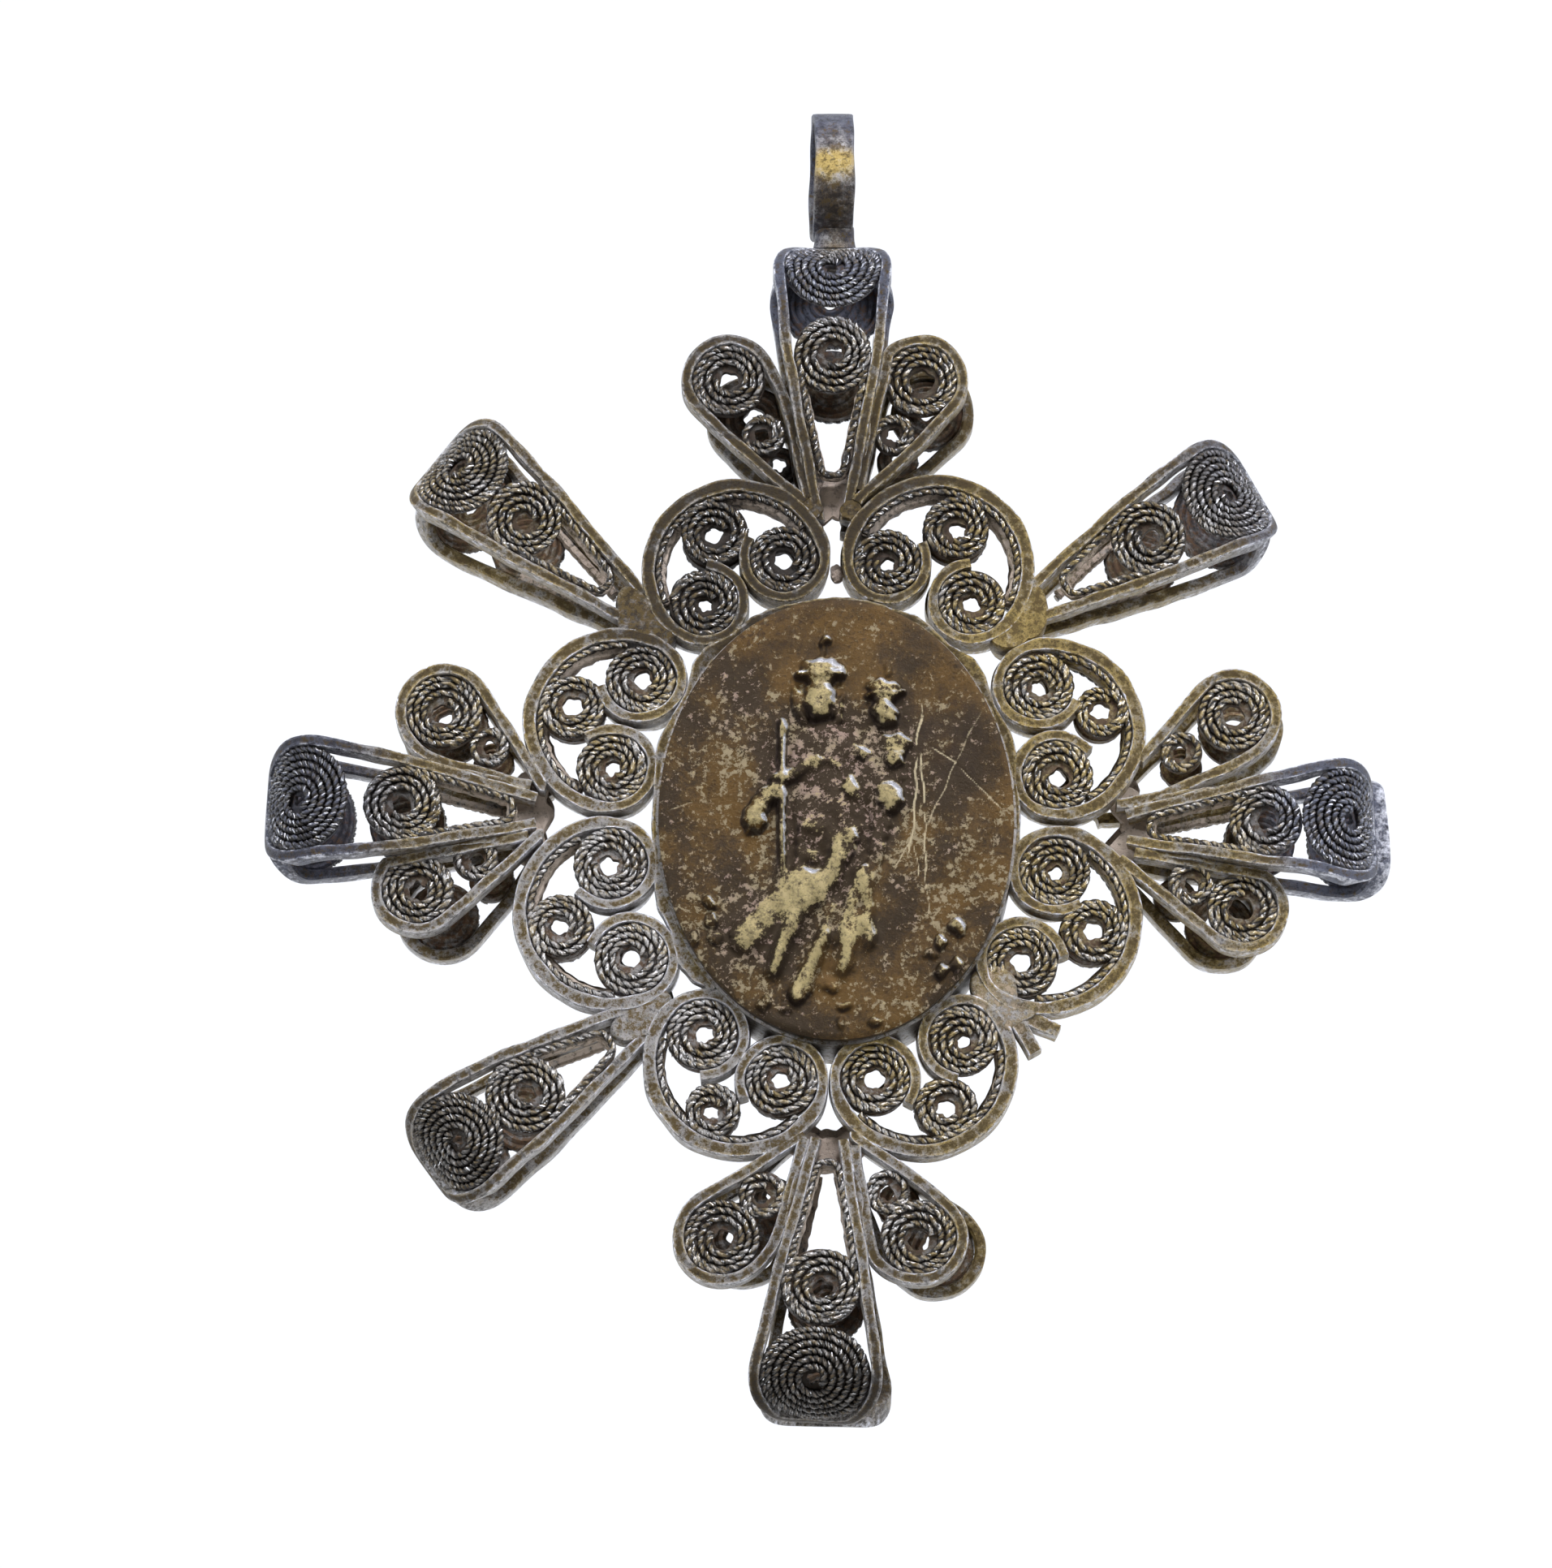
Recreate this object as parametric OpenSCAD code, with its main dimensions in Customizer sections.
// Two-faced filigree pendant: an oval medallion in a wreath of eight scrolled
// lobes, with seven bent petals, sixteen flat leaves and a round bail.
// It lies on its back, face up (+Z), bail towards +Y. Sizes are millimetres.

/* [Medallion] */
// Width of the two oval plates
plate_w = 18.6; // [18:0.1:19]
// Length of the two oval plates
plate_l = 23.9; // [23:0.1:24.4]
// Thickness of each plate
plate_t = 0.6; // [0.5:0.1:0.8]
// Height of the embossed figure over its plate
relief_h = 0.75; // [0.5:0.05:0.9]
// Width of the rim that the collar shows round the plates
collar_rim = 0.15; // [0.1:0.05:0.25]
// Wall of the collar that joins the two faces
collar_wall = 0.9; // [0.6:0.1:1.5]

/* [Ribbon and coils] */
// Width of the ribbon of the wreath, seen from the front
ribbon_w = 0.8; // [0.7:0.05:0.9]
// Width of the ribbon of the petals and leaves, seen from the front
blade_w = 0.6; // [0.5:0.05:0.8]
// Height of the ribbon of the wreath, on edge
ribbon_h = 1.5; // [1.3:0.1:1.6]
// Height of the ribbon of the petals and leaves, on edge
blade_h = 1.3; // [1.1:0.05:1.35]
// Height of a wound coil
coil_h = 0.95; // [0.8:0.05:1.1]
// Thickness of the wire that the coils are wound from
wire_d = 0.42; // [0.38:0.02:0.46]
// Radius of the open eye of a coil
eye_r = 0.6; // [0.4:0.05:0.65]
// Clear gap between two soldered pieces
seam_gap = 0.04; // [0.03:0.01:0.06]

/* [Layers] */
// Half of the whole thickness, from the middle plane to a petal's domed coil
half_t = 3.58; // [3.4:0.02:3.8]
// Clear space between the front wreath and the back wreath
layer_space = 1.1; // [0.9:0.1:1.3]
// How far the back wreath sits to the right of the front one
back_shift = 0; // [-0.2:0.1:0.4]
// How far the back wreath sits above the front one, towards the bail
back_rise = 0.6; // [0:0.1:0.7]

/* [Petals] */
// How far the domed coil stands over the petal's edge ribbon
dome_proud = 0.08; // [0.05:0.01:0.12]
// Half of the space between the two ends of a petal's ribbon
root_half = 0.7; // [0.6:0.05:0.9]

/* [Bail] */
// Inner radius of the bail
bail_r = 3; // [2.8:0.1:3.1]
// Thickness of the bail's strap
bail_t = 0.5; // [0.4:0.05:0.6]
// Width of the bail's strap
bail_w = 2.15; // [1.8:0.05:2.6]

/* [Hidden] */
$fn = 72;

// Place of the medallion's centre, which all the tables below count from
medal_x = 0.42;
medal_y = -4.33;
mid_z = half_t;

// Heights of the front layer over the middle plane
low_z = layer_space / 2;
top_z = low_z + ribbon_h;
blade_z = top_z - blade_h;
gusset_z = low_z - 0.3;
gusset_t = blade_z - seam_gap - gusset_z;

// Place of the back layer against the front one
back_place = [back_shift, back_rise, 0];

// One lobe of the wreath: its scroll nearer the clockwise side, its outer coil,
// its scroll nearer the anticlockwise side, and how far the big arc bulges
// name, scroll a [x, y], outer coil [x, y], scroll c [x, y], scroll_r, outer_r, bulge
lobes = [
    ["north_west", [-2.72, 14.50], [-6.40, 16.00], [-6.98, 12.06], 1.85, 1.80, 0.65],
    ["north_east", [7.23, 12.10], [6.45, 16.27], [2.76, 14.32], 1.82, 1.76, 0.89],
    ["east_north", [11.63, 2.55], [14.04, 6.03], [10.71, 7.46], 1.88, 1.50, 0.05],
    ["east_south", [9.68, -7.59], [13.43, -5.92], [11.44, -2.67], 1.88, 1.72, 0.23],
    ["south_east", [1.99, -13.84], [5.68, -15.31], [6.56, -11.72], 1.83, 1.78, 0.16],
    ["south_west", [-6.95, -11.46], [-6.43, -15.48], [-2.85, -13.93], 1.89, 1.78, 0.31],
    ["west_south", [-11.80, -2.28], [-14.39, -5.62], [-10.69, -7.41], 1.95, 1.76, 0.34],
    ["west_north", [-10.28, 7.82], [-13.90, 6.34], [-11.78, 2.95], 1.87, 1.82, 0.31]
];

// Solder that fills the corner between two lobes: [x, y], radius
corners = [
    [[-10.3, 11.3], 1.35],
    [[9.85, 11.5], 1.35],
    [[8.9, -9.9], 1.35],
    [[-10.3, -10.5], 1.35]
];

// Discs of the thin plates that bridge two lobes behind the root of a petal: [x, y], radius
gussets = [
    [[-1.0, 17.6], 0.9],
    [[0.3, 18.2], 1.1],
    [[1.3, 17.7], 0.9],
    [[0.1, 13.95], 0.35],
    [[15.2, 1.5], 0.9],
    [[15.9, 0.0], 0.9],
    [[15.1, -1.4], 0.9],
    [[0.9, -17.0], 0.8],
    [[-0.4, -17.6], 1.0],
    [[-1.7, -17.0], 0.8],
    [[-16.1, -1.0], 0.9],
    [[-16.1, 0.6], 1.2],
    [[-16.0, 2.1], 0.9]
];

// Stumps of the petal that is broken off at the lower right: start, end
stumps = [
    [[9.3, -10.2], [11.5, -11.3]],
    [[9.1, -10.3], [10.3, -12.4]]
];

// name, root [x, y], centre of the bend [x, y], coil's distance from the root, coil_r, dome_r,
// bearing of the domed coil's centre round the bend from the face, and for the back half
// [turn about the root in degrees, extra length, extra dome_r]
petals = [
    ["top", [-0.15, 18.0], [-0.12, 29.15], 7.8, 2.1, 2.65, 28, [0, 0, 0.2]],
    ["upper_right", [11.2, 12.4], [19.62, 17.12], 6.3, 2.0, 2.73, 28, [1.8, 0, 0]],
    ["right", [15.3, -0.3], [25.0, -0.15], 7.3, 1.9, 2.8, 35, [1.5, 0.75, 0]],
    ["bottom", [-0.4, -17.1], [-1.05, -28.15], 7.9, 2.05, 2.9, 28, [2.5, 0.05, 0]],
    ["lower_left", [-10.9, -11.1], [-18.4, -16.54], 6.5, 2.1, 2.65, 28, [-2.3, -0.3, 0.05]],
    ["left", [-15.8, 0.6], [-26.6, 0.95], 7.0, 2.05, 2.9, 28, [-1.7, 0, 0]],
    ["upper_left", [-11.2, 12.3], [-18.76, 18.29], 6.9, 2.0, 2.7, 28, [0, -0.3, 0.05]]
];

// name, root [x, y], centre of the round end [x, y], end_r, small coil [x, y],
// coil_r, shift of the round end [x, y] on the back leaf
leaves = [
    ["top_left", [-1.46, 17.78], [-5.68, 24.58], 2.28, [-3.80, 21.49], 1.16, [1.3, -1.3]],
    ["top_right", [0.90, 17.78], [4.60, 24.58], 2.28, [3.15, 21.53], 1.12, [0.4, -0.9]],
    ["right_upper", [13.74, 0.46], [20.98, 5.85], 2.24, [18.20, 3.84], 1.12, [0.3, 0]],
    ["right_lower", [13.43, -0.60], [21.22, -4.70], 2.15, [18.53, -3.29], 1.16, [-1, -0.2]],
    ["bottom_right", [0.46, -16.78], [4.17, -22.17], 2.28, [2.63, -19.78], 1.16, [1, -0.1]],
    ["bottom_left", [-1.55, -16.90], [-5.95, -22.17], 2.28, [-3.82, -19.91], 1.25, [0.9, 0.5]],
    ["left_lower", [-14.60, 0.50], [-21.89, -3.64], 2.19, [-18.90, -1.92], 1.20, [1.2, -0.7]],
    ["left_upper", [-15.27, 1.35], [-20.64, 6.07], 2.32, [-18.23, 4.15], 1.07, [0.2, 0]]
];

// Rounded parts of the relief: [x, y], radius, height as a share of relief_h
relief_balls = [
    [[-0.60, 9.60], 0.40, 0.6],
    [[-0.75, 8.00], 1.00, 0.7],
    [[-0.85, 6.25], 1.15, 1.0],
    [[2.55, 5.60], 0.95, 0.95],
    [[2.50, 7.00], 0.75, 0.6],
    [[-2.90, 2.05], 0.60, 0.85],
    [[-4.25, -0.10], 1.00, 0.9],
    [[1.25, 3.40], 0.70, 0.8],
    [[3.05, 3.20], 0.95, 0.9],
    [[0.90, 1.50], 0.75, 0.75],
    [[2.80, 1.00], 1.00, 0.9],
    [[-6.60, -4.80], 0.50, 0.6],
    [[-6.55, -5.90], 0.60, 0.6],
    [[-7.30, -6.40], 0.45, 0.5],
    [[6.30, -6.00], 0.65, 0.7],
    [[5.40, -6.80], 0.50, 0.6],
    [[5.80, -8.00], 0.60, 0.6],
    [[-3.70, -10.10], 0.50, 0.5],
    [[0.40, -10.70], 0.45, 0.5],
    [[2.00, -10.80], 0.45, 0.5]
];

// Long parts of the relief: start [x, y], end [x, y], radii, height as a share
relief_rods = [
    [[-0.60, 8.60], [-0.60, 9.60], 0.25, 0.25, 0.4],
    [[-0.85, 7.00], [-0.85, 7.75], 0.80, 1.20, 0.9],
    [[2.50, 6.25], [2.50, 6.75], 0.65, 0.95, 0.8],
    [[-2.84, 5.20], [-2.84, -3.50], 0.28, 0.28, 0.6],
    [[-1.70, 6.60], [-2.40, 4.20], 0.35, 0.45, 0.5],
    [[-0.75, 4.90], [0.10, -2.20], 1.55, 1.90, 0.7],
    [[-1.10, 3.60], [-2.80, 2.00], 0.75, 0.60, 0.9],
    [[-2.90, 1.60], [-4.20, 0.10], 0.55, 0.75, 0.8],
    [[2.50, 4.60], [2.20, 0.60], 1.00, 1.20, 0.75],
    [[-1.30, -2.60], [-4.40, -6.50], 0.90, 1.10, 0.75],
    [[-1.00, -3.00], [-3.10, -8.10], 0.80, 0.90, 0.85],
    [[0.30, -1.30], [-1.50, -8.60], 0.90, 0.80, 0.9],
    [[-0.60, -4.60], [-1.80, -9.50], 0.60, 0.80, 0.75],
    [[1.40, -2.60], [0.20, -8.20], 0.80, 0.75, 0.85],
    [[1.60, -3.40], [1.90, -7.00], 0.60, 0.60, 0.7]
];

function bearing(v) = atan2(v.y, v.x);
function unit(v) = v / norm(v);
function turned(v, a) = [v.x * cos(a) - v.y * sin(a), v.x * sin(a) + v.y * cos(a)];
function wrap360(a) = a - 360 * floor(a / 360);
// Point where a line from v touches the circle of radius r; side is 1 above, -1 below
function touch(v, r, side) = r * turned(unit(v), -side * acos(r / norm(v)));

// Flat shapes

module slice(a0, sweep, r) {
    steps = ceil(sweep / 50);
    rim = [for (i = [0:steps]) let (a = a0 + sweep * i / steps) 2 * r * [cos(a), sin(a)]];
    polygon(concat([[0, 0]], rim));
}

module arc_strip(r, w, a0, sweep) {
    intersection() {
        difference() {
            circle(r + w / 2);
            circle(r - w / 2);
        }
        slice(a0, sweep, r);
    }
}

module bar(p, q, w, past = 0) {
    translate(p) rotate(bearing(q - p)) translate([0, -w / 2]) square([norm(q - p) + past, w]);
}

// Ribbon bent to a drop: a round end about the origin, two sides that pass
// beside a small coil at mid, and two ends at the root
module drop(root, root_half, mid, mid_half, end_r) {
    bar_w = blade_w - 0.06;
    tips = [for (side = [1, -1]) touch(mid + [0, side * mid_half], end_r, side)];
    start = bearing(tips[1]);
    arc_strip(end_r, blade_w, start, wrap360(bearing(tips[0]) - start));
    for (i = [0, 1]) {
        side = 1 - 2 * i;
        knee = mid + [0, side * mid_half];
        bar(root + [0, side * root_half], knee, bar_w);
        bar(knee, tips[i], bar_w, 0.2);
        translate(knee) circle(d = blade_w);
    }
}

// Coil of wire as a ring with a groove between its turns, its top at z = 0
module coil(r, eye = eye_r) {
    turns = max(2, round((r - eye) / wire_d));
    pitch = (r - eye) / turns;
    groove = wire_d * 0.35;
    crests = [for (i = [0:turns - 1]) each [
        [eye + pitch * (i + 0.3), 0],
        [eye + pitch * (i + 0.7), 0],
        [eye + pitch * (i + 1), -groove]
    ]];
    rotate_extrude() polygon(concat([[eye, -coil_h], [eye, -groove]], crests, [[r, -coil_h]]));
}

// Wreath

function lobe_out(l) = let (d = unit(l[3] - l[1])) [d.y, -d.x];
function lobe_hub(l) = (l[1] + l[3]) / 2 + l[6] * lobe_out(l);
function scroll_path(l) = l[4] + ribbon_w / 2 - 0.05;
function lobe_r(l) = scroll_path(l) + norm(l[1] - lobe_hub(l));
function outer_coil_r(l) = min(l[5], lobe_r(l) - ribbon_w / 2 - norm(l[2] - lobe_hub(l)) + 0.06);

module lobe_ribbon(l) {
    hub = lobe_hub(l);
    from_a = bearing(l[1] - hub);
    from_c = bearing(l[3] - hub);
    across = bearing(l[3] - l[1]);
    scroll_w = ribbon_w - 0.1;
    tip_turn = 62;
    lap = 7;
    translate(hub) arc_strip(lobe_r(l), ribbon_w, from_a, wrap360(from_c - from_a));
    translate(l[1])
        arc_strip(scroll_path(l), scroll_w, across - tip_turn, wrap360(from_a - across + tip_turn) + lap);
    translate(l[3])
        arc_strip(scroll_path(l), scroll_w, from_c - lap, wrap360(across + 180 + tip_turn - from_c) + lap);
    translate((l[1] + l[3]) / 2) circle(0.4);
}

module lobe_lining(l) {
    hub = lobe_hub(l);
    from_a = bearing(l[1] - hub) + 22;
    from_c = bearing(l[3] - hub) - 22;
    lining_w = wire_d + 0.06;
    translate(hub)
        arc_strip(lobe_r(l) - ribbon_w / 2 - wire_d / 2, lining_w, from_a, wrap360(from_c - from_a));
}

// Discs that cover the lobes and their corners, grown by a gap
module wreath_zone(grow) {
    for (l = lobes) translate(lobe_hub(l)) circle(lobe_r(l) + ribbon_w / 2 + grow);
    for (c = corners) translate(c[0]) circle(c[1] + grow);
}

module lobe_insides() {
    for (l = lobes) translate(lobe_hub(l)) circle(lobe_r(l) - ribbon_w / 2 + 0.1);
}

module oval(grow) {
    scale([1, (plate_l + 2 * grow) / (plate_w + 2 * grow)]) circle(d = plate_w + 2 * grow);
}

module half_wreath(broken_petal) {
    translate([0, 0, low_z]) linear_extrude(ribbon_h) {
        for (l = lobes) lobe_ribbon(l);
        difference() {
            for (c = corners) translate(c[0]) circle(c[1]);
            lobe_insides();
        }
        if (broken_petal) for (s = stumps) bar(s[0], s[1], ribbon_w);
    }
    translate([0, 0, gusset_z]) linear_extrude(gusset_t) difference() {
        for (g = gussets) translate(g[0]) circle(g[1]);
        lobe_insides();
    }
    translate([0, 0, top_z - 0.25 - coil_h]) linear_extrude(coil_h - 0.1)
        for (l = lobes) lobe_lining(l);
    for (l = lobes) {
        translate([l[1].x, l[1].y, top_z - 0.15]) coil(l[4] + 0.02);
        translate([l[3].x, l[3].y, top_z - 0.15]) coil(l[4] + 0.02);
        translate([l[2].x, l[2].y, top_z - 0.15]) coil(outer_coil_r(l));
    }
}

module collar_room() {
    translate([0, 0, -1]) linear_extrude(top_z + 2) oval(collar_rim + seam_gap);
}

module lattice_front() {
    color("#8c7d5c") translate([medal_x, medal_y, mid_z]) difference() {
        half_wreath(true);
        collar_room();
    }
}

module lattice_back() {
    color("#7d6a45") translate([medal_x, medal_y, mid_z]) mirror([0, 0, 1]) difference() {
        translate(back_place) half_wreath(false);
        collar_room();
    }
}

// Petals, drawn along +X with the centre of the bend at the origin

bend_r = half_t - dome_proud;
blade_mid = blade_z + blade_h / 2;
path_r = bend_r - blade_h / 2;

function reach(p) = norm(p[2] - p[1]);
function leg_rise(p) = asin(path_r / norm([reach(p), blade_mid])) - atan(blade_mid / reach(p));

// Side view of the strip that a petal's half is cut from
module strip_profile(p) {
    rise = leg_rise(p);
    thin = blade_h - 0.06;
    root = [-reach(p), blade_mid];
    leg = norm([reach(p), blade_mid]) * cos(asin(path_r / norm([reach(p), blade_mid])));
    bar(root, root + leg * [cos(rise), sin(rise)], thin, 0.25);
    arc_strip(path_r, blade_h, 2, 88 + rise);
}

module half_petal(p) {
    rise = leg_rise(p);
    dome_turn = p[6];
    squash = 0.87;
    frame_r = p[5] + blade_w / 2 - 0.05;
    root = [-reach(p) * cos(dome_turn) - blade_mid * sin(dome_turn), 0];
    knee_x = root.x + p[3] * cos(rise + dome_turn);
    intersection() {
        rotate([90, 0, 0]) linear_extrude(9, center = true) strip_profile(p);
        rotate([0, dome_turn, 0]) translate([0, 0, -8]) linear_extrude(14) scale([squash, 1])
            drop(root / squash, root_half, [knee_x / squash, 0], p[4] + blade_w / 2, frame_r);
    }
    translate([-reach(p), 0, blade_mid]) rotate([0, -rise, 0]) translate([p[3], 0, blade_h / 2 - 0.12])
        coil(p[4] + 0.06);
    difference() {
        intersection() {
            rotate([90, 0, 0]) linear_extrude(9, center = true)
                arc_strip(half_t - coil_h / 2, coil_h, 3, 120);
            rotate([0, dome_turn, 0]) scale([squash * 1.04, 1, 1]) cylinder(h = 9, r = p[5]);
        }
        rotate([0, dome_turn, 0]) cylinder(h = 9, r = 0.35);
    }
}

// The same petal with the sizes of its back half
function back_petal(p) = [p[0], p[1], p[2] + p[7][1] * unit(p[2] - p[1]), p[3], p[4], p[5] + p[7][2], p[6], p[7]];

module petal_solid(p) {
    back = back_petal(p);
    half_petal(p);
    translate([-reach(p), 0, 0]) rotate([0, 0, p[7][0]]) translate([reach(back), 0, 0]) mirror([0, 0, 1])
        half_petal(back);
    rotate([90, 0, 0]) linear_extrude(1.8, center = true) arc_strip(bend_r - 0.6, 1, -10, 20);
}

module petal(p) {
    color("#6f6a60") translate([medal_x, medal_y, mid_z]) difference() {
        translate([p[2].x, p[2].y, 0]) rotate([0, 0, bearing(p[2] - p[1])]) petal_solid(p);
        linear_extrude(half_t + 1) wreath_zone(seam_gap);
        translate(back_place - [0, 0, half_t + 1]) linear_extrude(half_t + 1) wreath_zone(seam_gap);
    }
}

// Room that the ribbons of a petal take up in plan, turned about its root
module petal_shadow(p, turn) {
    side = blade_w / 2 + seam_gap + 0.12;
    centreline = [[-2, root_half], [0, root_half], [p[3], p[4] + blade_w / 2],
                  [reach(p) + 1.2, p[5] + blade_w / 2]];
    last = len(centreline) - 1;
    translate(p[1]) rotate(bearing(p[2] - p[1]) + turn) polygon(concat(
        [for (c = centreline) [c.x, c.y + side]],
        [for (i = [last:-1:0]) [centreline[i].x, -centreline[i].y - side]]
    ));
}

// Leaves

module leaf_solid(l, back) {
    place = back ? [back_place.x, back_place.y] : [0, 0];
    shift = back ? l[6] : [0, 0];
    root = l[1] + place;
    end = l[2] + shift;
    lie = bearing(end - root);
    small = turned(l[4] + shift * 0.6 - end, -lie);
    difference() {
        union() {
            translate([end.x, end.y, blade_z]) rotate([0, 0, lie]) linear_extrude(blade_h)
                drop([-norm(end - root), 0], 0.2, small, l[5] + blade_w / 2, l[3]);
            translate([end.x, end.y, top_z - 0.15]) rotate([0, 0, lie]) {
                coil(l[3] - blade_w / 2 + 0.06);
                translate([small.x, small.y, 0]) coil(l[5] + 0.06, 0.45);
            }
        }
        linear_extrude(half_t) {
            translate(place) wreath_zone(seam_gap);
            for (p = petals) petal_shadow(back ? back_petal(p) : p, back ? p[7][0] : 0);
        }
    }
}

module leaf_front(l) {
    color("#857753") translate([medal_x, medal_y, mid_z]) leaf_solid(l, false);
}

module leaf_back(l) {
    color("#6b5a3c") translate([medal_x, medal_y, mid_z]) mirror([0, 0, 1]) leaf_solid(l, true);
}

// Medallion

collar_top = top_z + 0.12;
plate_z = collar_top + seam_gap;

module collar() {
    color("#9a9a98") translate([medal_x, medal_y, mid_z - collar_top]) linear_extrude(2 * collar_top) difference() {
        oval(collar_rim);
        oval(collar_rim - collar_wall);
    }
}

// Ball sunk in the plate so that only its top stands out by h
module raised_ball(at, r, h) {
    translate([at.x, at.y, h - r]) sphere(r);
}

// Rod or cone lying in the plate, its higher end standing out by h
module raised_rod(p, q, r1, r2, h) {
    translate([p.x, p.y, h - max(r1, r2)]) rotate([0, 90, bearing(q - p)])
        cylinder(h = norm(q - p), r1 = r1, r2 = r2);
}

// Standing robed figure with crown and sceptre, a child on its arm: worn smooth
module figure_relief() {
    for (b = relief_balls) raised_ball(b[0], b[1], b[2] * relief_h);
    for (r = relief_rods) raised_rod(r[0], r[1], r[2], r[3], r[4] * relief_h);
}

module medallion_front() {
    color("#5f5038") translate([medal_x, medal_y, mid_z + plate_z]) {
        linear_extrude(plate_t) oval(0);
        translate([0, 0, plate_t]) intersection() {
            figure_relief();
            translate([0, 0, -plate_t / 2]) linear_extrude(plate_t + 2) oval(-0.15);
        }
    }
}

module medallion_back() {
    color("#6a5a40") translate([medal_x, medal_y, mid_z - plate_z - plate_t]) linear_extrude(plate_t) oval(0);
}

// Bail

top_petal = petals[0];
bail_x = 0.02;
bail_y = top_petal[2].y + half_t + 0.65 + bail_r + bail_t;

module bail() {
    color("#5a5c60") translate([medal_x + bail_x, medal_y + bail_y, mid_z]) difference() {
        union() {
            rotate([0, 90, 0]) cylinder(h = bail_w, r = bail_r + bail_t, center = true);
            translate([0, -bail_r - bail_t - 0.3, 0]) cube([bail_w + 0.1, 1.5, 1.7], center = true);
        }
        rotate([0, 90, 0]) cylinder(h = bail_w + 2, r = bail_r, center = true);
        translate([0, top_petal[2].y - bail_y, 0]) rotate([0, 90, 0])
            cylinder(h = 20, r = bend_r + seam_gap, center = true);
    }
}

medallion_front();
medallion_back();
collar();
lattice_front();
lattice_back();
bail();
for (p = petals) petal(p);
for (l = leaves) leaf_front(l);
for (l = leaves) leaf_back(l);
